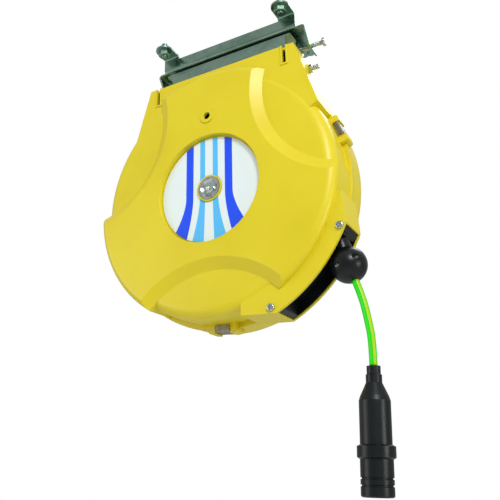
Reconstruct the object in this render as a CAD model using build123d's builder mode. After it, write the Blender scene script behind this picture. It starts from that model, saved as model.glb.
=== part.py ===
# Spring-retracting earth-lead reel that hangs from a ceiling bracket.
# Origin: middle of the ceiling face, on top of the bracket's tongues. +Z is up, the label faces -Y.
import os
from math import acos, asin, atan2, cos, degrees, hypot, pi, radians, sin, sqrt, tan

from build123d import *

os.makedirs("parts", exist_ok=True)

# ---------------------------------------------------------------- driving dimensions, mm
# ceiling bracket, bent from one sheet
sheet = 2.3
bend_r = 3.2  # to the middle of the sheet
bracket_length = 202.0  # over the two ears
bracket_depth = 54.0  # over the two flanges
web_drop = 21.0  # ceiling face to the underside of the web
flange_drop = 6.0  # ceiling face to the top of the flanges between the tongues
tongue_width = 21.2
ear_foot_width = 24.0
ear_drop = 20.0
stud_spacing_x = 160.0
stud_spacing_y = 85.0
stud_d = 8.0
stud_grip_d = 7.2  # thread's pitch diameter, where stud and nut meet
stud_hole_d = 8.4
stud_reach = 8.0  # above the ceiling face
nut_across_flats = 13.0
nut_height = 6.5

# swing pivots and hanger
pivot_drop = 33.4  # ceiling face to the pivot axis
pivot_d = 5.0
pivot_head_d = 10.0
pivot_stand_off = 12.0  # ear to the underside of the head
hanger_length = 170.0  # over its ears
hanger_front = 27.0  # pivot axis to the plate's front edge
hanger_back = 22.0
hanger_gap = 6.0  # web to hanger plate
leg_width = 156.0
rod_d = 5.0
rod_drop = 78.0  # ceiling face to the rod
rod_setback = 16.0  # neck face to the rod
rod_stub = 14.5  # rod beyond the neck's right side

# case, moulded in two halves
reel_offset = -17.0  # reel axis, sideways from the bracket's middle
reel_drop = 203.0  # ceiling face to the reel axis
plateau_front = 44.0  # pivot plane to the front plateau
case_depth = 80.0  # front plateau to rear plateau
seam_back = 48.0  # front plateau to the seam
case_r = 150.0
rim_r = 146.0  # where the lens recesses run out
wall = 3.0
lens_depth = 8.0
lens_floor_r = 110.6
lens_edge_r = 123.0
lens_offset = 205.6
lens_angles = (30.0, 150.0, 270.0)
rim_round = 12.0
edge_round = 9.0  # front shoulder
rear_edge_round = 4.0
band_round = 3.0
bead_r = 151.5
bead_width = 5.0
label_r = 62.2
label_thick = 1.2
label_depth = 7.0
label_gap = 2.0
vent_height = 88.75
vent_r = 4.4
vent_ring_r = 8.75

# neck that the hanger's leg goes into
neck_setback = 9.0  # plateau to neck face
neck_top = 155.0  # above the reel axis
neck_left = -87.5
neck_right = 107.5
neck_flare = 0.3  # sideways per mm of drop
neck_left_foot = 84.0
neck_back_foot = 104.0  # where the neck's back slope ends
neck_right_foot = 72.0
neck_thick = 19.0
neck_foot_thick = 55.0
notch_width = 4.5
notch_depth = 23.0
notch_spread = 171.3

# cord outlet
outlet_r = 168.75
outlet_width = 42.0
outlet_from = -64.0
outlet_to = -25.0
outlet_low_x = 34.4
outlet_low_z = -148.8
outlet_high_x = 151.0
outlet_high_z = -37.5
outlet_wall = 3.0
guide_floor_r = 156.0
guide_lip = 1.5
guide_screw_d = 4.0
guide_screws = ((146.3, -73.8), (68.8, -145.0))
roller_d = 8.0
roller_length = 20.0
roller_pin_d = 3.0
roller_back = 48.0  # ball centre back to the rollers

# drum, mainspring and axle
axle_d = 16.0
hub_r = 60.0
pack_r = 101.0
flange_r = 118.0
flange_thick = 2.0
drum_width = 32.0  # between the flanges
spring_case_r = 56.0
spring_width = 15.0
spring_strip = 1.2
spring_turns = 9
ratchet_teeth = 24
ratchet_tip_r = 112.0
ratchet_root_r = 106.0
ratchet_thick = 3.5

# cord, stopper ball and cable coupler
cord_d = 7.6
ball_x = 145.0  # from the reel axis
ball_z = -108.5
ball_d = 37.0
ball_turn = -10.0
ball_screw_offset = 9.5
coupler_lean = 3.0
coupler_body_r = 14.3
coupler_bulge_r = 17.2
coupler_length = 113.0
coupler_socket_r = 5.0
coupler_socket_depth = 34.0

# fits
run_fit = 0.05  # radial, shaft in bush
slip_fit = 0.3  # round loose parts
drum_gap = 1.5  # drum to case wall

# ---------------------------------------------------------------- places that follow
plateau_y = -plateau_front
neck_y = plateau_y + neck_setback
rear_y = plateau_y + case_depth
seam_y = plateau_y + seam_back
reel_z = -reel_drop
label_floor_y = plateau_y + label_depth
lens_floor_y = plateau_y + lens_depth
lens_back_y = seam_y - bead_width / 2
outlet_back_y = neck_y + outlet_width
cord_y = neck_y + outlet_width / 2 + 0.4
pivot_z = -pivot_drop
rod_y = neck_y + rod_setback
rod_z = -rod_drop
hanger_top = -web_drop - hanger_gap
reel_axis = Axis((reel_offset, 0, reel_z), (0, 1, 0))

lead_r = pack_r + slip_fit + cord_d / 2
ball_reach = hypot(ball_x, ball_z)
lead_angle = degrees(atan2(ball_z, ball_x) + acos(lead_r / ball_reach))
lead_dir = Vector(sin(radians(lead_angle)), 0, -cos(radians(lead_angle)))
lead_side = Vector(cos(radians(lead_angle)), 0, sin(radians(lead_angle)))
lead_length = sqrt(ball_reach**2 - lead_r**2)
ball_r = ball_d / 2


def upright(y):
    # plane across the reel axis at depth y; local X is right, local Y is up, extrusions go to the front
    return Plane(origin=(reel_offset, y, reel_z), x_dir=(1, 0, 0), z_dir=(0, -1, 0))


def half_section(x=0.0, z=0.0):
    # plane through an axis parallel to the reel axis; local X is radius, local Y is depth
    return Plane(origin=(reel_offset + x, 0, reel_z + z), x_dir=(1, 0, 0), z_dir=(0, 0, 1))


def parallel_axis(x, z):
    return Axis((reel_offset + x, 0, reel_z + z), (0, 1, 0))


def from_reel(x, y, z):
    return Vector(reel_offset + x, y, reel_z + z)


ball_centre = from_reel(ball_x, cord_y, ball_z)


def on_lead(back):
    # point on the cord's straight lead, measured back from the ball's centre
    return ball_centre - lead_dir * back


def round_corner(sketch, corner, radius):
    fillet(sketch.vertices().sort_by_distance((*corner, 0))[0:1], radius)


def ring_sector(inner, outer, start, end):
    with BuildLine() as outline:
        outside = CenterArc((0, 0), outer, start, end - start)
        inside = CenterArc((0, 0), inner, start, end - start)
        Line(outside @ 0, inside @ 0)
        Line(outside @ 1, inside @ 1)
    make_face(outline.edges())


def turned(points, x=0.0, z=0.0):
    # solid of revolution about an axis parallel to the reel axis, from (radius, depth) points
    with BuildPart() as piece:
        with BuildSketch(half_section(x, z)):
            Polygon(*points, align=None)
        revolve(axis=parallel_axis(x, z))
    return piece.part


def save(piece, name):
    piece.label = name
    export_step(piece, f"parts/{name}.step")


# ---------------------------------------------------------------- ceiling bracket
web_mid = -web_drop + sheet / 2
flange_mid = bracket_depth / 2 - sheet / 2
tongue_tip = stud_spacing_y / 2 + tongue_width / 2
ear_mid = bracket_length / 2 - sheet / 2
ear_foot = -web_drop - ear_drop

with BuildPart() as ceiling_bracket:
    with BuildSketch(Plane.YZ):
        with BuildLine():
            FilletPolyline(
                (-flange_mid, -flange_drop),
                (-flange_mid, web_mid),
                (flange_mid, web_mid),
                (flange_mid, -flange_drop),
                radius=bend_r,
            )
        trace(line_width=sheet)
    extrude(amount=stud_spacing_x / 2, both=True)
    for side in (-1, 1):
        with BuildSketch(Plane.YZ.offset(side * stud_spacing_x / 2 - tongue_width / 2)):
            with BuildLine():
                FilletPolyline(
                    (-tongue_tip, -sheet / 2),
                    (-flange_mid, -sheet / 2),
                    (-flange_mid, web_mid),
                    (flange_mid, web_mid),
                    (flange_mid, -sheet / 2),
                    (tongue_tip, -sheet / 2),
                    radius=bend_r,
                )
            trace(line_width=sheet)
        extrude(amount=tongue_width)
    tongue_corners = ceiling_bracket.edges().filter_by(Axis.Z)
    tongue_corners = tongue_corners.filter_by(lambda e: abs(abs(e.center().Y) - tongue_tip) < 0.01)
    fillet(tongue_corners, tongue_width / 2 - 0.1)
    with BuildSketch(Plane.XZ):
        with BuildLine():
            FilletPolyline(
                (-ear_mid, ear_foot),
                (-ear_mid, web_mid),
                (ear_mid, web_mid),
                (ear_mid, ear_foot),
                radius=bend_r,
            )
        trace(line_width=sheet)
    extrude(amount=bracket_depth / 2 - bend_r, both=True)
    with BuildSketch(Plane.YZ):
        for side in (-1, 1):
            Polygon(
                (side * (bracket_depth / 2 - bend_r), -web_drop - sheet),
                (side * ear_foot_width / 2, ear_foot),
                (side * ear_foot_width / 2, ear_foot - sheet),
                (side * bracket_depth, ear_foot - sheet),
                (side * bracket_depth, -web_drop - sheet),
                align=None,
            )
    extrude(amount=bracket_length, both=True, mode=Mode.SUBTRACT)
    ear_corners = ceiling_bracket.edges().filter_by(Axis.X)
    fillet(ear_corners.filter_by(lambda e: abs(e.center().Z - ear_foot) < 0.01), 7)
    with GridLocations(stud_spacing_x, stud_spacing_y, 2, 2):
        Hole(stud_hole_d / 2, depth=2 * sheet)
    with BuildSketch(Plane.YZ):
        with Locations((0, pivot_z)):
            Circle(pivot_d / 2 + slip_fit / 2)
    extrude(amount=bracket_length, both=True, mode=Mode.SUBTRACT)
save(ceiling_bracket.part, "ceiling_bracket")

stud_show = 1.8  # stud past its nut
stud_tip = -sheet - nut_height - stud_show
with BuildPart() as ceiling_studs:
    with BuildSketch(Plane.XY.offset(stud_tip)):
        with GridLocations(stud_spacing_x, stud_spacing_y, 2, 2):
            Circle(stud_grip_d / 2)
    extrude(amount=-stud_tip)
    with BuildSketch(Plane.XY):
        with GridLocations(stud_spacing_x, stud_spacing_y, 2, 2):
            Circle(stud_d / 2)
    extrude(amount=stud_reach)
    chamfer(ceiling_studs.edges().filter_by(GeomType.CIRCLE).group_by(Axis.Z)[0], 0.8)
save(ceiling_studs.part, "ceiling_studs")

nut_foot = -sheet - nut_height
nut_chamfer_r = nut_across_flats / 2 * 0.96
nut_corner_r = nut_across_flats / 2 * 1.2
nut_chamfer = 0.9
with BuildPart() as ceiling_nuts:
    with BuildSketch(Plane.XY.offset(-sheet)):
        with GridLocations(stud_spacing_x, stud_spacing_y, 2, 2):
            RegularPolygon(nut_across_flats / 2, 6, major_radius=False, rotation=30)
            Circle(stud_grip_d / 2, mode=Mode.SUBTRACT)
    extrude(amount=-nut_height)
    for x in (-stud_spacing_x / 2, stud_spacing_x / 2):
        for y in (-stud_spacing_y / 2, stud_spacing_y / 2):
            with BuildSketch(Plane.XZ.offset(-y)):
                Polygon(
                    (x + nut_chamfer_r, nut_foot),
                    (x + nut_corner_r, nut_foot),
                    (x + nut_corner_r, nut_foot + nut_chamfer),
                    align=None,
                )
            revolve(axis=Axis((x, y, 0), (0, 0, 1)), mode=Mode.SUBTRACT)
save(ceiling_nuts.part, "ceiling_nuts")

# ---------------------------------------------------------------- pivot screws and hanger
hanger_ear_mid = hanger_length / 2 - sheet / 2
hanger_mid = hanger_top - sheet / 2
pivot_head = bracket_length / 2 + pivot_stand_off
pivot_clip_thick = 1.0
pivot_clip_rim = 0.7
hanger_bend_r = 2.0
pivot_end = hanger_length / 2 - sheet - slip_fit - pivot_clip_thick - 1.0
pivot_head_thick = 3.2


def along_x(x, y, z):
    return Plane(origin=(x, y, z), x_dir=(0, 1, 0), z_dir=(1, 0, 0))


with BuildPart() as pivot_screws:
    for side in (-1, 1):
        with BuildSketch(along_x(side * pivot_end, 0, pivot_z)):
            Circle(pivot_d / 2)
        extrude(amount=side * (pivot_head - pivot_end))
        with BuildSketch(along_x(side * pivot_head, 0, pivot_z)):
            Circle(pivot_head_d / 2)
        extrude(amount=side * pivot_head_thick)
    outer = pivot_screws.edges().filter_by(GeomType.CIRCLE)
    outer = outer.filter_by(lambda e: abs(e.center().X) > pivot_head + pivot_head_thick - 0.01)
    fillet(outer, 1.8)
    for side in (-1, 1):
        with BuildSketch(along_x(side * (pivot_head + pivot_head_thick), 0, pivot_z)):
            Rectangle(5.0, 1.1)
            Rectangle(1.1, 5.0)
        extrude(amount=-side * 1.6, mode=Mode.SUBTRACT)
save(pivot_screws.part, "pivot_screws")

with BuildPart() as pivot_nuts:
    for side in (-1, 1):
        with BuildSketch(along_x(side * (bracket_length / 2 - sheet), 0, pivot_z)):
            RegularPolygon(4.0, 6, major_radius=False)
            Circle(pivot_d / 2, mode=Mode.SUBTRACT)
        extrude(amount=-side * 4.0)
save(pivot_nuts.part, "pivot_nuts")

with BuildPart() as pivot_clips:
    for side in (-1, 1):
        with BuildSketch(along_x(side * (hanger_length / 2 - sheet - slip_fit), 0, pivot_z)):
            Circle(pivot_d / 2 + pivot_clip_rim)
            Circle(pivot_d / 2, mode=Mode.SUBTRACT)
        extrude(amount=-side * pivot_clip_thick)
save(pivot_clips.part, "pivot_clips")

hanger_ear_r = 8.6
leg_y = -hanger_front + sheet / 2
tab_low = rod_z - 8.0
tab_high = rod_z + 10.0
tab_back = rod_y + 7.0
with BuildPart() as hanger_frame:
    with BuildSketch(Plane.XZ.offset(-hanger_back)):
        with BuildLine():
            FilletPolyline(
                (-hanger_ear_mid, pivot_z - hanger_ear_r),
                (-hanger_ear_mid, hanger_mid),
                (hanger_ear_mid, hanger_mid),
                (hanger_ear_mid, pivot_z - hanger_ear_r),
                radius=hanger_bend_r,
            )
        trace(line_width=sheet)
    extrude(amount=hanger_back + hanger_front)
    with BuildSketch(Plane.YZ):
        with Locations((0, hanger_top - sheet - hanger_ear_r * 2)):
            Rectangle(4 * hanger_front, 4 * hanger_ear_r)
        with Locations((0, pivot_z)):
            Circle(hanger_ear_r, mode=Mode.SUBTRACT)
        with Locations((0, pivot_z + hanger_ear_r)):
            Rectangle(2 * hanger_ear_r, 2 * hanger_ear_r, mode=Mode.SUBTRACT)
    extrude(amount=hanger_length, both=True, mode=Mode.SUBTRACT)
    with BuildSketch(Plane.YZ):
        with BuildLine():
            FilletPolyline(
                (-hanger_front / 2, hanger_mid), (leg_y, hanger_mid), (leg_y, tab_low), radius=hanger_bend_r
            )
        trace(line_width=sheet)
    extrude(amount=leg_width / 2, both=True)
    for side in (-1, 1):
        with BuildSketch(Plane.YZ.offset(side * leg_width / 2)):
            with Locations(((-hanger_front + tab_back) / 2, (tab_low + tab_high) / 2)):
                Rectangle(hanger_front + tab_back, tab_high - tab_low)
        extrude(amount=-side * sheet)
    with BuildSketch(Plane.YZ):
        with Locations((0, pivot_z)):
            Circle(pivot_d / 2 + run_fit)
        with Locations((rod_y, rod_z)):
            Circle(rod_d / 2 + slip_fit / 3)
    extrude(amount=hanger_length, both=True, mode=Mode.SUBTRACT)
save(hanger_frame.part, "hanger_frame")


# ---------------------------------------------------------------- case
band_run = lens_edge_r - lens_floor_r
band_slope = atan2(lens_depth, band_run)


def lens_cutter(angle, inset):
    # turned cutter for one lens recess, from the front to the seam's bead; inset 0 is the outside skin
    reach = inset / sin(band_slope) - inset / tan(band_slope)
    floor, edge = lens_floor_r + reach, lens_edge_r + reach
    front, low = plateau_y + inset, lens_floor_y + inset
    past = 8.0
    x, z = lens_offset * cos(radians(angle)), lens_offset * sin(radians(angle))
    with BuildPart() as cutter:
        with BuildSketch(half_section(x, z)) as outline:
            Polygon(
                (0, front - past),
                (edge + past, front - past),
                (edge + past, front - 0.4),
                (edge, front),
                (floor, low),
                (floor, lens_back_y + inset),
                (0, lens_back_y + inset),
                align=None,
            )
            round_corner(outline, (edge, front), band_round)
        revolve(axis=parallel_axis(x, z))
    return cutter.part


def drum_skin(inset):
    # the case's round body, without neck and outlet; inset 0 is the outside, wall is the hollow
    with BuildPart() as skin:
        with BuildSketch(half_section()) as outline:
            r, front, back = case_r - inset, plateau_y + inset, rear_y - inset
            Polygon((0, front), (r, front), (r, back), (0, back), align=None)
            round_corner(outline, (r, front), max(edge_round - inset, 0.5))
            round_corner(outline, (r, back), max(rear_edge_round - inset, 0.5))
        revolve(axis=reel_axis)
        for angle in lens_angles:
            add(lens_cutter(angle, inset), mode=Mode.SUBTRACT)
        with BuildSketch(half_section()) as outline:
            r, front, back = rim_r - inset, lens_floor_y + inset, seam_y + inset
            Polygon((0, front), (r, front), (r, back), (0, back), align=None)
            round_corner(outline, (r, front), rim_round - inset)
        revolve(axis=reel_axis)
    return skin.part


def neck_block(inset):
    top = neck_top - inset
    left = neck_left + inset
    right = neck_right - inset
    left_foot = left - neck_flare * (top - neck_left_foot)
    right_foot = right + neck_flare * (top - neck_right_foot)
    with BuildPart() as block:
        with BuildSketch(upright(neck_y + neck_foot_thick - inset)):
            Polygon(
                (left, top),
                (right, top),
                (right_foot, neck_right_foot),
                (right_foot / 2, neck_right_foot / 2),
                (left_foot / 2, neck_right_foot / 2),
                (left_foot, neck_left_foot),
                align=None,
            )
        extrude(amount=neck_foot_thick - 2 * inset)
        with BuildSketch(Plane.YZ.offset(reel_offset)):
            Polygon(
                (neck_y + inset, reel_z + neck_top),
                (neck_y + neck_thick - inset, reel_z + neck_top),
                (neck_y + neck_foot_thick - inset, reel_z + neck_back_foot - inset / 2),
                (neck_y + neck_foot_thick - inset, reel_z),
                (neck_y + inset, reel_z),
                align=None,
            )
        extrude(amount=2 * case_r, both=True, mode=Mode.INTERSECT)
    return block.part


def outlet_outline():
    # side view of the outlet, with straight ends that meet the round body
    with BuildLine() as outline:
        low = (outlet_low_x, outlet_low_z)
        high = (outlet_high_x, outlet_high_z)
        sweep_ = CenterArc((0, 0), outlet_r, outlet_from, outlet_to - outlet_from)
        Line(low, sweep_ @ 0)
        Line(sweep_ @ 1, high)
        Polyline(high, (outlet_high_x / 2, outlet_high_z / 2), (outlet_low_x, outlet_low_z / 2), low)
    make_face(outline.edges())


hub_boss_r = 11.5
ring_r = 15.5
washer_r = 13.5
screw_r = 3.0
screw_hole_r = 3.2
front_in = label_floor_y + wall
rear_in = rear_y - wall
drum_front = lens_floor_y + wall + drum_gap
boss_height = drum_front - front_in - slip_fit
lug_half = 18.0
lug_r = 156.0
lug_corner = 2.5
lug_width = 16.0
clip_width = 18.0
clip_floor_r = 152.5
clip_sheet = 1.2
clip_angles = (-92.0, 19.5, 160.5)

rod_boss = 2.0
rod_boss_r = 6.0
notch_rim = 2.2
notch_rim_high = 1.0
socket_depth = 4.0
ring_high = 3.0
vent_ring_high = 1.2
rod_right = reel_offset + neck_right + neck_flare * (neck_top - (rod_z - reel_z))
rod_left = reel_offset + neck_left - neck_flare * (neck_top - (rod_z - reel_z))

with BuildPart() as case_shell:
    add(drum_skin(0))
    with BuildSketch(upright(seam_y + bead_width / 2)):
        Circle(bead_r)
    extrude(amount=bead_width)
    add(neck_block(0))
    with BuildSketch(upright(outlet_back_y)):
        outlet_outline()
    extrude(amount=outlet_width)
    # bosses where the rod leaves the neck
    for x_side, side in ((rod_right, 1), (rod_left, -1)):
        with BuildSketch(along_x(x_side + side * rod_boss, rod_y, rod_z)):
            Circle(rod_boss_r)
        extrude(amount=-side * 3 * rod_boss)
    # raised rims round the two notches
    for side in (-1, 1):
        x_notch = (neck_left + neck_right) / 2 + side * notch_spread / 2
        with BuildSketch(upright(neck_y + notch_rim_high)):
            with Locations((x_notch, neck_top - (notch_depth + notch_rim) / 2)):
                Rectangle(notch_width + 2 * notch_rim, notch_depth + notch_rim)
        extrude(amount=2 * notch_rim_high)
    # lugs that carry the spring clips
    for angle in clip_angles:
        across = degrees(asin(lug_half / lug_r))
        with BuildSketch(upright(seam_y + lug_width / 2)) as lug:
            ring_sector(rim_r - 2, lug_r, angle - across, angle + across)
            fillet(lug.vertices().filter_by(lambda v: hypot(v.X, v.Y) > lug_r - 0.1), lug_corner)
        extrude(amount=lug_width)
    # hollow
    add(drum_skin(wall), mode=Mode.SUBTRACT)
    add(neck_block(wall), mode=Mode.SUBTRACT)
    with BuildSketch(upright(outlet_back_y - outlet_wall)):
        outlet_outline()
        offset(amount=-outlet_wall)
    extrude(amount=outlet_width - 2 * outlet_wall, mode=Mode.SUBTRACT)
    with BuildSketch(upright(outlet_back_y - outlet_wall)):
        ring_sector(rim_r - 2 * wall, outlet_r + wall, outlet_from + 0.5, outlet_to - 0.5)
    extrude(amount=outlet_width - 2 * outlet_wall, mode=Mode.SUBTRACT)
    # recess and floor for the label, with the ring round the centre washer
    with BuildSketch(upright(front_in)):
        Circle(label_r + label_gap + wall)
    extrude(amount=front_in - plateau_y)
    with BuildSketch(upright(label_floor_y)):
        Circle(label_r + label_gap)
    extrude(amount=label_depth, mode=Mode.SUBTRACT)
    with BuildSketch(upright(label_floor_y)):
        Circle(ring_r)
        Circle(washer_r + slip_fit, mode=Mode.SUBTRACT)
    extrude(amount=ring_high)
    # sockets that hold the axle's ends
    with BuildSketch(upright(front_in + boss_height)):
        Circle(hub_boss_r)
    extrude(amount=boss_height)
    with BuildSketch(upright(rear_in)):
        Circle(hub_boss_r)
    extrude(amount=socket_depth)
    for y_from, y_to in ((front_in + boss_height, front_in), (rear_in, rear_in - socket_depth)):
        with BuildSketch(upright(y_from)):
            Circle(axle_d / 2 + run_fit)
        extrude(amount=y_from - y_to, mode=Mode.SUBTRACT)
    with BuildSketch(upright(rear_y + wall)):
        Circle(screw_hole_r)
    extrude(amount=case_depth + 2 * wall, mode=Mode.SUBTRACT)
    # ringed hole above the label
    with BuildSketch(upright(plateau_y)):
        with Locations((0, vent_height)):
            Circle(vent_ring_r)
    extrude(amount=vent_ring_high)
    with BuildSketch(upright(plateau_y + 2 * wall)):
        with Locations((0, vent_height)):
            Circle(vent_r)
    extrude(amount=3 * wall, mode=Mode.SUBTRACT)
    # notches in the neck's front face and the slot for the hanger's leg
    for side in (-1, 1):
        x_notch = (neck_left + neck_right) / 2 + side * notch_spread / 2
        with BuildSketch(upright(neck_y + wall + 1)):
            with Locations((x_notch, neck_top - notch_depth / 2)):
                Rectangle(notch_width, notch_depth)
        extrude(amount=2 * wall + 1, mode=Mode.SUBTRACT)
    with BuildSketch(Plane.XY.offset(reel_z + neck_top + 1)):
        with Locations((0, leg_y)):
            Rectangle(leg_width + 4 * slip_fit, sheet + 4 * slip_fit)
    extrude(amount=-wall - 2, mode=Mode.SUBTRACT)
    # rod holes, screw holes, clip seats
    with BuildSketch(Plane.YZ):
        with Locations((rod_y, rod_z)):
            Circle(rod_d / 2 + slip_fit / 2)
    extrude(amount=2 * case_r, both=True, mode=Mode.SUBTRACT)
    with BuildSketch(upright(outlet_back_y + wall)):
        with Locations(*guide_screws):
            Circle(guide_screw_d / 2 + slip_fit / 2)
    extrude(amount=outlet_width + 2 * wall, mode=Mode.SUBTRACT)
    for angle in clip_angles:
        across = degrees(asin((clip_width / 2 + slip_fit) / lug_r))
        with BuildSketch(upright(seam_y + lug_width)):
            ring_sector(clip_floor_r, lug_r + wall, angle - across, angle + across)
        extrude(amount=2 * lug_width, mode=Mode.SUBTRACT)

drum_back = drum_front + 2 * flange_thick + drum_width
pawl_gap = 0.5
pawl_boss_r = 6.0
pawl_pin_r = 2.5
pawl_spring_width = 3.6
pawl_boss_y = drum_back + ratchet_thick + pawl_spring_width
seam_plane = Plane(origin=(0, seam_y, 0), x_dir=(1, 0, 0), z_dir=(0, 1, 0))
pawl_angle = 78.0
pawl_pivot_r = 124.0
pawl_x = pawl_pivot_r * cos(radians(pawl_angle))
pawl_z = pawl_pivot_r * sin(radians(pawl_angle))
terminal_x, terminal_z = -24.0, 0.0
terminal_r = 3.0
terminal_grip_r = 2.7  # thread's pitch radius, where the stud sits in its nuts

with BuildPart() as front_case:
    add(case_shell.part)
    split(bisect_by=seam_plane, keep=Keep.BOTTOM)
save(front_case.part, "front_case")

with BuildPart() as rear_case:
    add(case_shell.part)
    split(bisect_by=seam_plane, keep=Keep.TOP)
    with BuildSketch(upright(rear_y + wall)):
        with Locations((terminal_x, terminal_z)):
            Circle(terminal_r + slip_fit / 2)
    extrude(amount=3 * wall, mode=Mode.SUBTRACT)
    with BuildSketch(upright(rear_in)):
        with Locations((pawl_x, pawl_z)):
            Circle(pawl_boss_r)
    extrude(amount=rear_in - pawl_boss_y)
    with BuildSketch(upright(rear_in)):
        with Locations((pawl_x, pawl_z)):
            Circle(pawl_pin_r)
    extrude(amount=rear_in - pawl_boss_y, mode=Mode.SUBTRACT)
save(rear_case.part, "rear_case")

# ---------------------------------------------------------------- rod, clips, label, centre
rod_nut_thick = 4.0
with BuildPart() as hanger_rod:
    with BuildSketch(along_x(rod_left - rod_boss - rod_nut_thick - 1.5, rod_y, rod_z)):
        Circle(rod_d / 2)
    extrude(amount=rod_right + rod_stub - rod_left + rod_boss + rod_nut_thick + 1.5)
    chamfer(hanger_rod.edges().filter_by(GeomType.CIRCLE), 0.5)
save(hanger_rod.part, "hanger_rod")

with BuildPart() as rod_nuts:
    for x_side, side in ((rod_right, 1), (rod_left, -1)):
        with BuildSketch(along_x(x_side + side * rod_boss, rod_y, rod_z)):
            RegularPolygon(4.0, 6, major_radius=False)
            Circle(rod_d / 2, mode=Mode.SUBTRACT)
        extrude(amount=side * rod_nut_thick)
save(rod_nuts.part, "rod_nuts")

clip_mid_r = clip_floor_r + slip_fit + clip_sheet / 2
clip_reach = lug_width / 2 + slip_fit + clip_sheet / 2
clip_bend_r = 1.4
clip_front_r = rim_r + 1.2
clip_rear_r = case_r + slip_fit
with BuildPart() as spring_clips:
    for angle in clip_angles:
        out = (cos(radians(angle)), 0, sin(radians(angle)))
        along = (-out[2], 0, out[0])
        with BuildSketch(Plane(origin=(reel_offset, 0, reel_z), x_dir=out, z_dir=along)):
            with BuildLine():
                FilletPolyline(
                    (clip_front_r, seam_y - clip_reach),
                    (clip_mid_r, seam_y - clip_reach),
                    (clip_mid_r, seam_y + clip_reach),
                    (clip_rear_r, seam_y + clip_reach),
                    radius=clip_bend_r,
                )
            trace(line_width=clip_sheet)
        extrude(amount=clip_width / 2, both=True)
save(spring_clips.part, "spring_clips")

with BuildPart() as label_disc:
    with BuildSketch(upright(label_floor_y)):
        Circle(label_r)
        Circle(ring_r + slip_fit, mode=Mode.SUBTRACT)
    extrude(amount=label_thick)
save(label_disc.part, "label_disc")

axle_r = axle_d / 2
screw_grip = 16.0
screw_head_r = 5.8
washer_thick = 1.3
with BuildPart() as centre_washers:
    for seat, out in ((label_floor_y, -1), (rear_y, 1)):
        add(
            turned(
                (
                    (screw_r + 0.2, seat),
                    (8.5, seat),
                    (11.0, seat + out * 2.2),
                    (washer_r, seat + out * 2.2),
                    (washer_r, seat + out * 3.4),
                    (10.4, seat + out * 3.4),
                    (8.0, seat + out * washer_thick),
                    (screw_r + 0.2, seat + out * washer_thick),
                )
            )
        )
save(centre_washers.part, "centre_washers")

with BuildPart() as centre_screws:
    for seat, out in ((label_floor_y - washer_thick, -1), (rear_y + washer_thick, 1)):
        add(
            turned(
                (
                    (0, seat - out * screw_grip),
                    (screw_r, seat - out * screw_grip),
                    (screw_r, seat),
                    (screw_head_r, seat),
                    (screw_head_r, seat + out * 1.6),
                    (screw_head_r - 1.4, seat + out * 3.2),
                    (0, seat + out * 3.6),
                )
            )
        )
        with BuildSketch(upright(seat + out * 3.7)):
            Rectangle(6.2, 1.3)
            Rectangle(1.3, 6.2)
        extrude(amount=out * 2.2, mode=Mode.SUBTRACT)
save(centre_screws.part, "centre_screws")

with BuildPart() as axle:
    with BuildSketch(upright(rear_in)):
        Circle(axle_r)
    extrude(amount=rear_in - front_in)
    for y_end, way in ((rear_in, 1), (front_in, -1)):
        with BuildSketch(upright(y_end)):
            Circle(screw_r)
        extrude(amount=way * (screw_grip + wall), mode=Mode.SUBTRACT)
save(axle.part, "axle")

# ---------------------------------------------------------------- drum
tube_r = 12.0
tube_wall = 4.0
barrel_front = drum_front + flange_thick
barrel_back = barrel_front + drum_width
bush_length = 12.0
bush_flange_r = 14.5
rivet_ring_r = hub_r - 10
rivet_count = 6
rivet_r = 2.0
rivet_head = 1.0
with BuildPart() as drum_hub:
    add(
        turned(
            (
                (tube_r, barrel_front),
                (hub_r, barrel_front),
                (hub_r, barrel_back),
                (hub_r - wall, barrel_back),
                (hub_r - wall, barrel_front + wall),
                (tube_r + tube_wall, barrel_front + wall),
                (tube_r + tube_wall, barrel_back),
                (tube_r, barrel_back),
            )
        )
    )
    with BuildSketch(upright(barrel_front + wall)):
        with PolarLocations(rivet_ring_r, rivet_count):
            Circle(rivet_r)
    extrude(amount=wall, mode=Mode.SUBTRACT)
save(drum_hub.part, "drum_hub")

with BuildPart() as drum_rivets:
    with BuildSketch(upright(barrel_front + wall)):
        with PolarLocations(rivet_ring_r, rivet_count):
            Circle(rivet_r)
    extrude(amount=wall + flange_thick)
    for y_head in (drum_front, barrel_front + wall + rivet_head):
        with BuildSketch(upright(y_head)):
            with PolarLocations(rivet_ring_r, rivet_count):
                Circle(rivet_r + 1.5)
        extrude(amount=rivet_head)
save(drum_rivets.part, "drum_rivets")

for name, y_back in (("front_flange", barrel_front), ("rear_flange", drum_back)):
    with BuildPart() as flange:
        with BuildSketch(upright(y_back)):
            Circle(flange_r)
            Circle(bush_flange_r + slip_fit, mode=Mode.SUBTRACT)
            if name == "front_flange":
                with PolarLocations(rivet_ring_r, rivet_count):
                    Circle(rivet_r, mode=Mode.SUBTRACT)
        extrude(amount=flange_thick)
    save(flange.part, name)

bore_r = axle_r + run_fit
with BuildPart() as bushes:
    for seat, out in ((barrel_front, -1), (barrel_back, 1)):
        add(
            turned(
                (
                    (bore_r, seat - out * bush_length),
                    (tube_r, seat - out * bush_length),
                    (tube_r, seat),
                    (bush_flange_r, seat),
                    (bush_flange_r, seat + out * flange_thick),
                    (bore_r, seat + out * flange_thick),
                )
            )
        )
save(bushes.part, "bushes")

with BuildPart() as wound_cord:
    add(
        turned(
            (
                (hub_r, barrel_front + slip_fit),
                (pack_r, barrel_front + slip_fit),
                (pack_r, barrel_back - slip_fit),
                (hub_r, barrel_back - slip_fit),
            )
        )
    )
save(wound_cord.part, "wound_cord")

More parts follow.
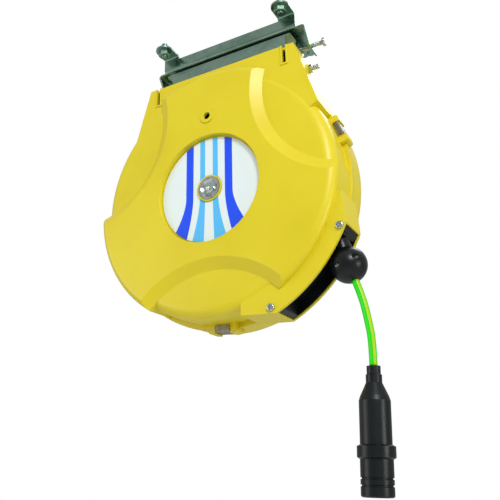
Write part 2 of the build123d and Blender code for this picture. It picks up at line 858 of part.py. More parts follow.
# ratchet ring: each tooth rises slowly and drops steeply towards larger angles
tooth = 360 / ratchet_teeth
tooth_start = 69.9
with BuildPart() as ratchet_ring:
    with BuildSketch(upright(drum_back + ratchet_thick)):
        corners = []
        for n in range(ratchet_teeth):
            for radius, angle in (
                (ratchet_root_r, tooth_start + n * tooth + 0.2),
                (ratchet_root_r, tooth_start + n * tooth + 2.0),
                (ratchet_tip_r, tooth_start + (n + 1) * tooth - 1.0),
                (ratchet_tip_r, tooth_start + (n + 1) * tooth),
            ):
                corners.append((radius * cos(radians(angle)), radius * sin(radians(angle))))
        Polygon(*corners, align=None)
        Circle(ratchet_root_r - 7, mode=Mode.SUBTRACT)
    extrude(amount=ratchet_thick)
save(ratchet_ring.part, "ratchet_ring")

# mainspring in its case on the back of the drum
case_back = drum_back + spring_width + 2 * slip_fit
arbor_r = 10.5
with BuildPart() as spring_case:
    with BuildSketch(upright(case_back)):
        Circle(spring_case_r + 2.0)
        Circle(spring_case_r, mode=Mode.SUBTRACT)
    extrude(amount=case_back - drum_back)
save(spring_case.part, "spring_case")

cover_back = case_back + 1.5
with BuildPart() as spring_cover:
    with BuildSketch(upright(cover_back)):
        Circle(spring_case_r + 2.0)
        Circle(axle_r + wall + 2.0, mode=Mode.SUBTRACT)
    extrude(amount=cover_back - case_back)
save(spring_cover.part, "spring_cover")

coil_in = arbor_r + slip_fit + spring_strip / 2
coil_out = spring_case_r - slip_fit - spring_strip / 2
coil_pitch = (coil_out - coil_in) / spring_turns
with BuildPart() as mainspring:
    with BuildSketch(upright(case_back - slip_fit)):
        with BuildLine():
            for half in range(2 * spring_turns):
                shift = (half % 2) * coil_pitch / 2
                CenterArc((shift, 0), coil_in + half * coil_pitch / 2, 180 * (half % 2), 180)
        trace(line_width=spring_strip)
    extrude(amount=spring_width)
save(mainspring.part, "mainspring")

with BuildPart() as spring_arbor:
    with BuildSketch(upright(case_back)):
        Circle(arbor_r)
        Circle(axle_r, mode=Mode.SUBTRACT)
    extrude(amount=case_back - drum_back - slip_fit)
save(spring_arbor.part, "spring_arbor")

# current path: slip ring, brush, holder and terminal
ring_thick = 2.0
ring_width = 8.0
ring_back = cover_back + ring_thick
with BuildPart() as slip_ring:
    with BuildSketch(upright(ring_back)):
        Circle(-terminal_x + ring_width / 2)
        Circle(-terminal_x - ring_width / 2, mode=Mode.SUBTRACT)
    extrude(amount=ring_thick)
save(slip_ring.part, "slip_ring")

brush_size = 5.0
holder_size = 12.0
brush_front = ring_back + 0.2
pocket_back = rear_in - 2.5
with BuildPart() as brush:
    with BuildSketch(upright(pocket_back)):
        with Locations((terminal_x, terminal_z)):
            Rectangle(brush_size, brush_size)
    extrude(amount=pocket_back - brush_front)
save(brush.part, "brush")

with BuildPart() as brush_holder:
    with BuildSketch(upright(rear_in)):
        with Locations((terminal_x, terminal_z)):
            Rectangle(holder_size, holder_size)
    extrude(amount=rear_in - brush_front - 1.5)
    with BuildSketch(upright(pocket_back)):
        with Locations((terminal_x, terminal_z)):
            Rectangle(brush_size + 2 * run_fit, brush_size + 2 * run_fit)
    extrude(amount=rear_in - brush_front, mode=Mode.SUBTRACT)
    with BuildSketch(upright(rear_in)):
        with Locations((terminal_x, terminal_z)):
            Circle(terminal_grip_r)
    extrude(amount=rear_in - pocket_back, mode=Mode.SUBTRACT)
save(brush_holder.part, "brush_holder")

terminal_nut_thick = 5.0
terminal_nut_half = 5.0  # half its width across flats
terminal_lug_gap = 3.0  # between the nuts, for the ring lug
terminal_free = 3.0  # free end past the outer nut
inner_nut_back = rear_y + terminal_nut_thick
outer_nut_back = inner_nut_back + terminal_lug_gap + terminal_nut_thick
with BuildPart() as terminal_stud:
    with BuildSketch(upright(outer_nut_back)):
        with Locations((terminal_x, terminal_z)):
            Circle(terminal_grip_r)
    extrude(amount=outer_nut_back - pocket_back)
    with BuildSketch(upright(outer_nut_back + terminal_free)):
        with Locations((terminal_x, terminal_z)):
            Circle(terminal_r)
    extrude(amount=terminal_free)
save(terminal_stud.part, "terminal_stud")

with BuildPart() as terminal_nuts:
    for y_nut in (inner_nut_back, outer_nut_back):
        with BuildSketch(upright(y_nut)):
            with Locations((terminal_x, terminal_z)):
                RegularPolygon(terminal_nut_half, 6, major_radius=False)
                Circle(terminal_grip_r, mode=Mode.SUBTRACT)
        extrude(amount=terminal_nut_thick)
save(terminal_nuts.part, "terminal_nuts")

# ---------------------------------------------------------------- pawl
pawl_back = drum_back + ratchet_thick
pawl_arm_r = 5.0
nose_angle = 69.3
nose_r = ratchet_tip_r + 0.6
heel_angle = 68.2
heel_r = nose_r + 3.9
nose = (nose_r * cos(radians(nose_angle)), nose_r * sin(radians(nose_angle)))
heel = (heel_r * cos(radians(heel_angle)), heel_r * sin(radians(heel_angle)))
arm_angle = atan2(nose[1] - pawl_z, nose[0] - pawl_x)
arm_half = 4.0
arm_side = (-sin(arm_angle) * arm_half, cos(arm_angle) * arm_half)
with BuildPart() as pawl:
    with BuildSketch(upright(pawl_back)):
        with Locations((pawl_x, pawl_z)):
            Circle(pawl_arm_r)
        Polygon(
            (pawl_x + arm_side[0], pawl_z + arm_side[1]),
            heel,
            nose,
            (pawl_x - arm_side[0], pawl_z - arm_side[1]),
            align=None,
        )
        with Locations((pawl_x, pawl_z)):
            Circle(pawl_pin_r + run_fit, mode=Mode.SUBTRACT)
    extrude(amount=ratchet_thick - pawl_gap)
save(pawl.part, "pawl")

with BuildPart() as pawl_pin:
    with BuildSketch(upright(rear_in)):
        with Locations((pawl_x, pawl_z)):
            Circle(pawl_pin_r)
    extrude(amount=rear_in - drum_back - pawl_gap)
save(pawl_pin.part, "pawl_pin")

wire_r = 0.55
coil_r = pawl_pin_r + slip_fit + wire_r
with BuildPart() as pawl_spring:
    with BuildSketch(half_section(pawl_x, pawl_z)):
        for n in range(3):
            with Locations((coil_r, pawl_back + slip_fit + wire_r + n * 1.9 * wire_r)):
                Circle(wire_r)
    revolve(axis=parallel_axis(pawl_x, pawl_z))
save(pawl_spring.part, "pawl_spring")

# ---------------------------------------------------------------- outlet guide and rollers
guide_front = neck_y + outlet_wall + slip_fit
guide_back = outlet_back_y - outlet_wall - slip_fit
guide_root_r = case_r + slip_fit
guide_rim_r = outlet_r - 1.2
guide_from = outlet_from + 0.7
guide_to = outlet_to - 0.7
slope_span = 4.5
guide_boss_r = 10.0
guide_bore_r = cord_d / 2 + 0.7
post_r = 3.0
roller_r = roller_d / 2
roller_out = cord_d / 2 + roller_r + 0.4
cheek_in = roller_length / 2 + slip_fit
cheek_thick = 2.5
cheek_half = roller_out + roller_pin_d / 2 + 1.8


def lead_plane(back):
    # plane across the cord's straight lead, its Z towards the ball
    return Plane(origin=on_lead(back), x_dir=lead_side, z_dir=lead_dir)


def lead_side_plane(y):
    # plane that holds the lead's direction; local X is across the lead, local Y points back up it
    return Plane(
        origin=(ball_centre.X, y, ball_centre.Z), x_dir=lead_side, z_dir=(0, -1, 0)
    )


with BuildPart() as outlet_guide:
    with BuildSketch(upright(guide_back)):
        ring_sector(guide_root_r, guide_rim_r, guide_from, guide_to)
    extrude(amount=guide_back - guide_front)
    # valley between the two lips, its ends sloping up to the rim
    with BuildSketch(upright(guide_back - guide_lip)):
        start, end = guide_from + 1.0, guide_to - 1.0
        with BuildLine() as valley:
            outside = CenterArc((0, 0), outlet_r + wall, start, end - start)
            floor = CenterArc((0, 0), guide_floor_r, start + slope_span, end - start - 2 * slope_span)
            Line(outside @ 0, floor @ 0)
            Line(outside @ 1, floor @ 1)
        make_face(valley.edges())
    extrude(amount=guide_back - guide_front - 2 * guide_lip, mode=Mode.SUBTRACT)
    # boss that the cord comes out of
    with BuildSketch(lead_plane(roller_back - roller_r - 4)):
        Circle(guide_boss_r)
    extrude(amount=roller_back - roller_r - 4 - ball_r / 2)
    # cheeks that carry the roller pins
    for y_cheek in (cord_y + cheek_in + cheek_thick, cord_y - cheek_in):
        with BuildSketch(lead_side_plane(y_cheek)):
            with Locations((0, (roller_back + 8 + 30) / 2)):
                Rectangle(2 * cheek_half, roller_back + 8 - 30)
        extrude(amount=cheek_thick)
    # posts for the screws, tied to the block by short webs
    for post in guide_screws:
        post_angle = degrees(atan2(post[1], post[0]))
        inward = 2.0 if post_angle < (outlet_from + outlet_to) / 2 else -2.0
        web_from, web_to = sorted((post_angle, post_angle + inward))
        with BuildSketch(upright(guide_back)):
            ring_sector(hypot(*post) - post_r, hypot(*post) + post_r, web_from, web_to)
            with Locations(post):
                Circle(post_r)
        extrude(amount=guide_back - guide_front)
    with Locations(ball_centre):
        Sphere(ball_r + slip_fit, mode=Mode.SUBTRACT)
    with BuildSketch(lead_plane(roller_back + 2 * ball_r)):
        Circle(guide_bore_r)
    extrude(amount=roller_back + 2 * ball_r, mode=Mode.SUBTRACT)
    with BuildSketch(lead_side_plane(cord_y + cheek_in)):
        for side in (-1, 1):
            with Locations((side * roller_out, roller_back)):
                Circle(roller_r + 0.8)
    extrude(amount=2 * cheek_in, mode=Mode.SUBTRACT)
    with BuildSketch(lead_side_plane(guide_back)):
        for side in (-1, 1):
            with Locations((side * roller_out, roller_back)):
                Circle(roller_pin_d / 2)
    extrude(amount=guide_back - guide_front, mode=Mode.SUBTRACT)
    with BuildSketch(upright(guide_back + 1)):
        with Locations(*guide_screws):
            Circle(guide_screw_d / 2 + 0.05)
    extrude(amount=outlet_width, mode=Mode.SUBTRACT)
save(outlet_guide.part, "outlet_guide")

pin_half = cheek_in + cheek_thick
with BuildPart() as roller_pins:
    with BuildSketch(lead_side_plane(cord_y + pin_half)):
        for side in (-1, 1):
            with Locations((side * roller_out, roller_back)):
                Circle(roller_pin_d / 2)
    extrude(amount=2 * pin_half)
save(roller_pins.part, "roller_pins")

for name, side in (("inner_roller", -1), ("outer_roller", 1)):
    with BuildPart() as roller:
        with BuildSketch(lead_side_plane(cord_y + roller_length / 2)):
            with Locations((side * roller_out, roller_back)):
                Circle(roller_r)
                Circle(roller_pin_d / 2 + run_fit, mode=Mode.SUBTRACT)
        extrude(amount=roller_length)
        fillet(roller.edges().filter_by(GeomType.CIRCLE).filter_by(
            lambda e: e.radius > roller_r - 0.01), 0.6)
    save(roller.part, name)

guide_head_r = 4.25
guide_nut_thick = 3.2
with BuildPart() as outlet_screws:
    with BuildSketch(upright(outlet_back_y + guide_nut_thick + 1.0)):
        with Locations(*guide_screws):
            Circle(guide_screw_d / 2)
    extrude(amount=outlet_width + guide_nut_thick + 1.0)
    with BuildSketch(upright(neck_y)):
        with Locations(*guide_screws):
            Circle(guide_head_r)
    extrude(amount=2.8)
    rim = outlet_screws.edges().filter_by(GeomType.CIRCLE)
    fillet(rim.filter_by(lambda e: e.center().Y < neck_y - 2.7), 1.6)
    with BuildSketch(upright(neck_y - 2.9)):
        with Locations(*guide_screws):
            Rectangle(4.6, 0.9)
            Rectangle(0.9, 4.6)
    extrude(amount=-1.6, mode=Mode.SUBTRACT)
save(outlet_screws.part, "outlet_screws")

with BuildPart() as outlet_nuts:
    with BuildSketch(upright(outlet_back_y + guide_nut_thick)):
        with Locations(*guide_screws):
            RegularPolygon(3.5, 6, major_radius=False)
            Circle(guide_screw_d / 2, mode=Mode.SUBTRACT)
    extrude(amount=guide_nut_thick)
save(outlet_nuts.part, "outlet_nuts")

# ---------------------------------------------------------------- stopper ball on the cord
cord_r = cord_d / 2
turn = radians(ball_turn)
ball_front_dir = Vector(0, -1, 0) * cos(turn) + lead_dir.cross(Vector(0, -1, 0)) * sin(turn)
ball_plane = Plane(origin=ball_centre, x_dir=lead_dir, z_dir=ball_front_dir)
ball_head_seat = 8.0
ball_head_r = 2.75
ball_screw_r = 1.5


def ball_level(height):
    return Plane(
        origin=ball_centre + ball_front_dir * height, x_dir=lead_dir, z_dir=ball_front_dir
    )


for name, keep in (("ball_front", Keep.TOP), ("ball_rear", Keep.BOTTOM)):
    with BuildPart() as half:
        with Locations(ball_centre):
            Sphere(ball_r)
        split(bisect_by=ball_plane, keep=keep)
        with BuildSketch(lead_plane(ball_d)):
            Circle(cord_r)
        extrude(amount=2 * ball_d, mode=Mode.SUBTRACT)
        with BuildSketch(ball_level(-ball_head_seat)):
            with Locations((0, ball_screw_offset), (0, -ball_screw_offset)):
                Circle(ball_screw_r)
        extrude(amount=2 * ball_head_seat, mode=Mode.SUBTRACT)
        if keep == Keep.TOP:
            with BuildSketch(ball_level(ball_head_seat)):
                with Locations((0, ball_screw_offset), (0, -ball_screw_offset)):
                    Circle(ball_head_r + slip_fit)
            extrude(amount=ball_r, mode=Mode.SUBTRACT)
    save(half.part, name)

with BuildPart() as ball_screws:
    with BuildSketch(ball_level(-ball_head_seat)):
        with Locations((0, ball_screw_offset), (0, -ball_screw_offset)):
            Circle(ball_screw_r)
    extrude(amount=2 * ball_head_seat)
    with BuildSketch(ball_level(ball_head_seat)):
        with Locations((0, ball_screw_offset), (0, -ball_screw_offset)):
            Circle(ball_head_r)
    extrude(amount=2.0)
    with BuildSketch(ball_level(ball_head_seat + 1.0)):
        with Locations((0, ball_screw_offset), (0, -ball_screw_offset)):
            Rectangle(3.2, 0.7)
            Rectangle(0.7, 3.2)
    extrude(amount=2.0, mode=Mode.SUBTRACT)
save(ball_screws.part, "ball_screws")

# ---------------------------------------------------------------- cord
with BuildPart() as cord_lead:
    with BuildSketch(lead_plane(lead_length)):
        Circle(cord_r)
    extrude(amount=lead_length + ball_r)
save(cord_lead.part, "cord_lead")

lean = radians(coupler_lean)
coupler_dir = Vector(-sin(lean), 0, -cos(lean))
coupler_top = from_reel(161.1, cord_y, -209.5)
cord_exit = on_lead(-ball_r)
cord_points = [
    cord_exit,
    on_lead(-ball_r - 18.0),
    from_reel(159.8, cord_y, -165.4),
    coupler_top - coupler_dir * 22.0,
    coupler_top,
]
cord_runs = [(b - a).length for a, b in zip(cord_points, cord_points[1:])]
cord_radii = []
for n in range(1, len(cord_points) - 1):
    bend = (cord_points[n] - cord_points[n - 1]).get_angle(cord_points[n + 1] - cord_points[n])
    cord_radii.append(0.45 * min(cord_runs[n - 1], cord_runs[n]) / tan(radians(bend) / 2))
print("cord radii", [round(r, 1) for r in cord_radii], "tube length about", round(sum(cord_runs), 1))

with BuildPart() as free_cord:
    with BuildLine() as cord_path:
        FilletPolyline(*cord_points, radius=cord_radii)
    with BuildSketch(Plane(origin=cord_exit, x_dir=lead_side, z_dir=lead_dir)):
        Circle(cord_r)
    sweep(path=cord_path.wire())
print("cord volume / (section x length)", free_cord.part.volume / (pi * cord_r**2 * cord_path.wire().length))
save(free_cord.part, "free_cord")

# ---------------------------------------------------------------- cable coupler
coupler_plane = Plane(origin=coupler_top, x_dir=(cos(lean), 0, -sin(lean)), z_dir=(0, 1, 0))
coupler_axis = Axis(coupler_top, coupler_dir)
insert_r = 8.7
insert_from = 60.0
insert_to = coupler_length - 6.0
bulge_from = 70.5
bulge_to = 80.0
grooves = (96.5, 102.5)
groove_width = 1.8
groove_depth = 1.1
skin = [
    (6.4, 0),
    (6.4, 7.2),
    (7.4, 7.9),
    (7.4, 15.0),
    (13.0, 27.0),
    (coupler_body_r, 31.0),
    (coupler_body_r, bulge_from - 1.5),
    (coupler_bulge_r, bulge_from),
    (coupler_bulge_r, bulge_to),
    (coupler_body_r + 0.4, bulge_to + 1.5),
]
for s in grooves:
    skin += [
        (coupler_body_r + 0.4, s),
        (coupler_body_r + 0.4 - groove_depth, s + 0.4),
        (coupler_body_r + 0.4 - groove_depth, s + groove_width - 0.4),
        (coupler_body_r + 0.4, s + groove_width),
    ]
skin += [
    (coupler_body_r + 0.4, coupler_length - 1.2),
    (coupler_body_r - 0.8, coupler_length),
    (insert_r, coupler_length),
    (insert_r, insert_from),
    (0, insert_from),
    (0, 0),
]
with BuildPart() as coupler_sleeve:
    with BuildSketch(coupler_plane):
        Polygon(*skin, align=None)
    revolve(axis=coupler_axis)
save(coupler_sleeve.part, "coupler_sleeve")

with BuildPart() as coupler_contact:
    with BuildSketch(coupler_plane):
        Polygon(
            (0, insert_from),
            (insert_r, insert_from),
            (insert_r, insert_to),
            (coupler_socket_r, insert_to),
            (coupler_socket_r, insert_to - coupler_socket_depth),
            (0, insert_to - coupler_socket_depth),
            align=None,
        )
    revolve(axis=coupler_axis)
save(coupler_contact.part, "coupler_contact")

# ---------------------------------------------------------------- figures the record needs
print("reel axis", reel_offset, reel_z, "cord y", cord_y, "pivot z", pivot_z)
print("ball centre", tuple(ball_centre), "lead dir", tuple(lead_dir), "lead r", lead_r)
print("pawl pivot", reel_offset + pawl_x, reel_z + pawl_z)
for side in (-1, 1):
    print("roller axis", tuple(on_lead(roller_back) + lead_side * side * roller_out))
print("socket mouth", tuple(coupler_top + coupler_dir * insert_to), "along", tuple(coupler_dir))
print("cord points", [tuple(round(v, 2) for v in p) for p in cord_points])
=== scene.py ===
import math

import bmesh
import bpy
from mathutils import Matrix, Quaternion, Vector


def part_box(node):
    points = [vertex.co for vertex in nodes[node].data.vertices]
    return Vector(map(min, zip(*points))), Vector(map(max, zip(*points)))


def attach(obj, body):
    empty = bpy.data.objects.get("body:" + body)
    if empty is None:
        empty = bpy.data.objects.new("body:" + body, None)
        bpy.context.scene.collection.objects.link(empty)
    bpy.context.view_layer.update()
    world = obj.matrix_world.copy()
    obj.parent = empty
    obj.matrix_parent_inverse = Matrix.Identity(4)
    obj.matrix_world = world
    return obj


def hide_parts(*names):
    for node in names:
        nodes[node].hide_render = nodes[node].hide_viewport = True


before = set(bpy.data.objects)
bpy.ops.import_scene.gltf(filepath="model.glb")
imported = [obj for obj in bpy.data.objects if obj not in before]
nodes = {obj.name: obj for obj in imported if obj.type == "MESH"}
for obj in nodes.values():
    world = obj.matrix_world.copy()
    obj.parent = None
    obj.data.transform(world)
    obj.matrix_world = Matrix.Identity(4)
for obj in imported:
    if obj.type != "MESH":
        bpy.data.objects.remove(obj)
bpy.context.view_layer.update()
scene = bpy.context.scene
scene.view_settings.view_transform = "Standard"  # plain product colours, no film look
mm = 0.001
print("frame loaded:", len(nodes), "CAD nodes")


# ---- camera, below the reel and to its right, looking up
cameraSet = {
    "place": (0.3306, -0.5984, -0.5157),
    "aim": (0.0299, -0.0350, -0.2835),
    "rollDegrees": -1.34,
    "lens": 47.27,
    "sensor": 36.0,
}
cameraData = bpy.data.cameras.new("camera")
cameraData.lens = cameraSet["lens"]
cameraData.sensor_width = cameraSet["sensor"]
cameraData.clip_start = 0.01
camera = bpy.data.objects.new("camera", cameraData)
scene.collection.objects.link(camera)
lookAlong = Vector(cameraSet["aim"]) - Vector(cameraSet["place"])
roll = Quaternion((0, 0, 1), math.radians(cameraSet["rollDegrees"]))
camera.rotation_mode = "QUATERNION"
camera.rotation_quaternion = lookAlong.to_track_quat("-Z", "Y") @ roll
camera.location = cameraSet["place"]
scene.camera = camera
print("camera set")


# ---- helpers
def addNode(tree, kind, inputs=None, stops=None, **settings):
    node = tree.nodes.new(kind)
    for name, value in settings.items():
        setattr(node, name, value)
    for name, value in (inputs or {}).items():
        if isinstance(value, bpy.types.NodeSocket):
            tree.links.new(value, node.inputs[name])
        else:
            node.inputs[name].default_value = value
    for n, (place, colour) in enumerate(stops or ()):  # colour ramp stops
        stop = node.color_ramp.elements[n] if n < 2 else node.color_ramp.elements.new(place)
        stop.position, stop.color = place, colour
    return node


def linear(hexColour):
    parts = [int(hexColour[n : n + 2], 16) / 255 for n in (0, 2, 4)]
    return (*[v / 12.92 if v <= 0.04045 else ((v + 0.055) / 1.055) ** 2.4 for v in parts], 1.0)


def newMaterial(name, **values):
    material = bpy.data.materials.new(name)
    material.use_nodes = True
    tree = material.node_tree
    tree.nodes.clear()
    shader = addNode(tree, "ShaderNodeBsdfPrincipled", values.get("inputs"))
    addNode(tree, "ShaderNodeOutputMaterial", {"Surface": shader.outputs["BSDF"]})
    place = addNode(tree, "ShaderNodeTexCoord").outputs["Object"]
    return material, tree, shader, place


def newObject(name, mesh):
    thing = bpy.data.objects.new(name, mesh)
    scene.collection.objects.link(thing)
    return thing


def grown(thing, tree, values, name):
    # runs a Geometry Nodes tree on a thing and gives back its result as a plain mesh object
    modifier = thing.modifiers.new(tree.name, "NODES")
    modifier.node_group = tree
    for item in tree.interface.items_tree:
        if item.item_type == "SOCKET" and item.in_out == "INPUT" and item.name in values:
            modifier[item.identifier] = values[item.name]
    thing.update_tag()
    bpy.context.view_layer.update()
    graph = bpy.context.evaluated_depsgraph_get()
    mesh = bpy.data.meshes.new_from_object(thing.evaluated_get(graph), depsgraph=graph)
    mesh.name = name
    bpy.data.objects.remove(thing)
    return newObject(name, mesh)


# ---- materials
# Moulded ABS, through-coloured yellow: low even gloss from a lightly sparked mould,
# with slow shade changes where the melt cooled.
yellow = {
    "base": "DFCC10", "cool": "DBC80C", "warm": "E2D015",
    "flow": 70 * mm, "grain": 1.1 * mm, "edgeRound": 0.9 * mm,  # grain drawn coarser than the real 0.2 mm
}
yellowAbs, tree, shader, place = newMaterial("mouldedYellowAbs", inputs={"IOR": 1.54})
flow = addNode(tree, "ShaderNodeTexNoise", {"Vector": place, "Scale": 1 / yellow["flow"], "Detail": 3.0})
tint = addNode(
    tree, "ShaderNodeValToRGB", {"Fac": flow.outputs["Fac"]},
    stops=[(0.3, linear(yellow["cool"])), (0.7, linear(yellow["warm"])), (0.5, linear(yellow["base"]))],
)
tree.links.new(tint.outputs["Color"], shader.inputs["Base Color"])
grain = addNode(tree, "ShaderNodeTexNoise", {"Vector": place, "Scale": 1 / yellow["grain"], "Detail": 4.0})
gloss = addNode(
    tree, "ShaderNodeMapRange",
    {"Value": flow.outputs["Fac"], "From Min": 0.3, "From Max": 0.7, "To Min": 0.36, "To Max": 0.44},
)
tree.links.new(gloss.outputs["Result"], shader.inputs["Roughness"])
edge = addNode(tree, "ShaderNodeBevel", {"Radius": yellow["edgeRound"]}, samples=4)
relief = addNode(
    tree, "ShaderNodeBump",
    {
        "Height": grain.outputs["Fac"], "Strength": 0.12, "Distance": 0.12 * mm,
        "Normal": edge.outputs["Normal"],
    },
)
tree.links.new(relief.outputs["Normal"], shader.inputs["Normal"])


# Black mouldings: PA/ABS from a textured mould, so a soft wide sheen with a fine grain.
def blackPlastic(name, colour, lighter, grainSize, rough, bumpDepth):
    material, tree, shader, place = newMaterial(name, inputs={"IOR": 1.53, "Specular IOR Level": 0.28})
    cloud = addNode(tree, "ShaderNodeTexNoise", {"Vector": place, "Scale": 1 / (25 * mm), "Detail": 4.0})
    tint = addNode(
        tree, "ShaderNodeValToRGB", {"Fac": cloud.outputs["Fac"]},
        stops=[(0.35, linear(colour)), (0.75, linear(lighter))],
    )
    tree.links.new(tint.outputs["Color"], shader.inputs["Base Color"])
    gloss = addNode(
        tree, "ShaderNodeMapRange",
        {
            "Value": cloud.outputs["Fac"], "From Min": 0.3, "From Max": 0.7,
            "To Min": rough[0], "To Max": rough[1],
        },
    )
    tree.links.new(gloss.outputs["Result"], shader.inputs["Roughness"])
    grain = addNode(tree, "ShaderNodeTexNoise", {"Vector": place, "Scale": 1 / grainSize, "Detail": 3.0})
    relief = addNode(
        tree, "ShaderNodeBump",
        {"Height": grain.outputs["Fac"], "Strength": 0.25, "Distance": bumpDepth},
    )
    tree.links.new(relief.outputs["Normal"], shader.inputs["Normal"])
    return material


blackAbs = blackPlastic("mouldedBlackAbs", "090D0E", "101517", 0.7 * mm, (0.26, 0.34), 0.06 * mm)
# Moulded chloroprene rubber: duller and a little greyer, with bloom from handling.
blackRubber = blackPlastic("mouldedBlackRubber", "0B1011", "13191A", 0.9 * mm, (0.30, 0.40), 0.08 * mm)
# Glass-filled nylon of the drum: mid grey, slightly streaky and dull.
greyNylon = blackPlastic("glassFilledGreyNylon", "4A4D4E", "5C6061", 0.5 * mm, (0.5, 0.62), 0.15 * mm)


# Metals share one recipe: a cloudy film or tarnish tint (on the zinc sheet also painted reflection), and fine
# marks along or round the piece.
def metal(name, stops, cloudSize, rough, streak, bumpDepth):
    material, tree, shader, place = newMaterial(name, inputs={"Metallic": 1.0})
    cloud = addNode(
        tree, "ShaderNodeTexNoise",
        {"Vector": place, "Scale": 1 / cloudSize, "Detail": 5.0, "Roughness": 0.6, "Distortion": 0.6},
    )
    tint = addNode(
        tree, "ShaderNodeValToRGB", {"Fac": cloud.outputs["Fac"]},
        stops=[(at, linear(colour)) for at, colour in stops],
    )
    tree.links.new(tint.outputs["Color"], shader.inputs["Base Color"])
    stretched = addNode(tree, "ShaderNodeMapping", {"Vector": place, "Scale": [1 / (s * mm) for s in streak]})
    marks = addNode(
        tree, "ShaderNodeTexNoise", {"Vector": stretched.outputs["Vector"], "Scale": 1.0, "Detail": 3.0}
    )
    gloss = addNode(
        tree, "ShaderNodeMapRange",
        {
            "Value": marks.outputs["Fac"], "From Min": 0.3, "From Max": 0.7,
            "To Min": rough[0], "To Max": rough[1],
        },
    )
    tree.links.new(gloss.outputs["Result"], shader.inputs["Roughness"])
    relief = addNode(
        tree, "ShaderNodeBump",
        {"Height": marks.outputs["Fac"], "Strength": 0.2, "Distance": bumpDepth},
    )
    tree.links.new(relief.outputs["Normal"], shader.inputs["Normal"])
    return material


# Zinc plate with a clear-to-green chromate film: grey-green with olive and teal clouds, partly the film's own
# tint and partly painted reflection, the olive standing for the yellow case mirrored in the sheet.
zincSheet = metal(
    "chromatedZincSheet",
    [(0.28, "6F917E"), (0.75, "9DA070"), (0.45, "86A292"), (0.60, "93AD9E")],
    26 * mm, (0.24, 0.34), (30, 0.8, 0.8), 0.03 * mm,
)
# Bright zinc on screws, washers and rod: cool silver, tight highlights.
brightZinc = metal(
    "brightZincPlate", [(0.32, "A3ACA7"), (0.70, "DDE3DF"), (0.5, "C2CBC6")],
    7 * mm, (0.16, 0.28), (1.2, 1.2, 1.2), 0.03 * mm,
)
# Oil-tempered spring strip: dark straw grey, drawn marks along the strip.
springStrip = metal(
    "temperedSpringStrip", [(0.3, "7B7563"), (0.7, "A7A08B"), (0.5, "918B78")],
    9 * mm, (0.24, 0.36), (0.8, 14, 0.8), 0.03 * mm,
)
# Turned and stamped steel inside: plain grey with a light oil film.
turnedSteel = metal(
    "turnedSteel", [(0.3, "85888A"), (0.7, "A9ACAE")], 12 * mm, (0.28, 0.40), (2, 0.3, 2), 0.03 * mm,
)
# Cast tin bronze of the bushes and brass of ring and contact: warm, slightly tarnished.
tinBronze = metal(
    "castTinBronze", [(0.3, "8C6239"), (0.7, "B98A55")], 10 * mm, (0.3, 0.42), (2, 0.4, 2), 0.03 * mm,
)
turnedBrass = metal(
    "turnedBrass", [(0.3, "B08D45"), (0.7, "D9BC74")], 10 * mm, (0.18, 0.32), (2, 0.3, 2), 0.02 * mm,
)

# Pressed carbon of the brush: near black, dull, faint grey grains.
carbonBlock, tree, shader, place = newMaterial("pressedCarbon", inputs={"Roughness": 0.72})
grains = addNode(tree, "ShaderNodeTexNoise", {"Vector": place, "Scale": 1 / (0.6 * mm), "Detail": 4.0})
tint = addNode(
    tree, "ShaderNodeValToRGB", {"Fac": grains.outputs["Fac"]},
    stops=[(0.4, linear("1B1C1E")), (0.7, linear("3A3C3F"))],
)
tree.links.new(tint.outputs["Color"], shader.inputs["Base Color"])

# Screen-printed polyester label with a clear film: crisp flat inks under an even gloss.
label = {
    "white": "E6F2F1", "centre": (-17.0 * mm, 0.0, -203.0 * mm), "middle": -1.0 * mm,
    "flareFrom": -8.0 * mm, "flareTo": -58.0 * mm, "flareCurve": 1.6,
    # ink, inner and outer edge from the middle, and how far each moves out at the label's foot
    "stripes": (
        ("55BFFA", 5.0 * mm, 11.6 * mm, 1.5 * mm, 10.0 * mm),
        ("0A4CF5", 20.4 * mm, 30.0 * mm, 9.0 * mm, 23.0 * mm),
    ),
}
labelPrint, tree, shader, place = newMaterial(
    "printedPolyesterLabel",
    inputs={"IOR": 1.5, "Roughness": 0.3, "Coat Weight": 0.25, "Coat Roughness": 0.12},
)
centred = addNode(
    tree, "ShaderNodeMapping",
    {"Vector": place, "Location": [-label["centre"][0] - label["middle"], 0, -label["centre"][2]]},
)
parts = addNode(tree, "ShaderNodeSeparateXYZ", {"Vector": centred.outputs["Vector"]})
aside = addNode(tree, "ShaderNodeMath", {0: parts.outputs["X"]}, operation="ABSOLUTE")
spread = addNode(
    tree, "ShaderNodeMapRange",
    {
        "Value": parts.outputs["Z"], "From Min": label["flareFrom"], "From Max": label["flareTo"],
        "To Min": 0.0, "To Max": 1.0,
    },
)
flare = addNode(
    tree, "ShaderNodeMath", {0: spread.outputs["Result"], 1: label["flareCurve"]}, operation="POWER"
)
printed = None
for ink, inner, outer, innerMove, outerMove in label["stripes"]:
    start, end = [
        addNode(
            tree, "ShaderNodeMath", {0: flare.outputs[0], 1: move, 2: edgeAt}, operation="MULTIPLY_ADD"
        )
        for move, edgeAt in ((innerMove, inner), (outerMove, outer))
    ]
    past = addNode(
        tree, "ShaderNodeMath", {0: aside.outputs[0], 1: start.outputs[0]}, operation="GREATER_THAN"
    )
    short = addNode(
        tree, "ShaderNodeMath", {0: aside.outputs[0], 1: end.outputs[0]}, operation="LESS_THAN"
    )
    inside = addNode(tree, "ShaderNodeMath", {0: past.outputs[0], 1: short.outputs[0]}, operation="MULTIPLY")
    under = printed.outputs[2] if printed else linear(label["white"])
    printed = addNode(
        tree, "ShaderNodeMix", {0: inside.outputs[0], 6: under, 7: linear(ink)}, data_type="RGBA"
    )
tree.links.new(printed.outputs[2], shader.inputs["Base Color"])
ripple = addNode(tree, "ShaderNodeTexNoise", {"Vector": place, "Scale": 1 / (9 * mm), "Detail": 2.0})
relief = addNode(
    tree, "ShaderNodeBump", {"Height": ripple.outputs["Fac"], "Strength": 0.08, "Distance": 0.15 * mm}
)
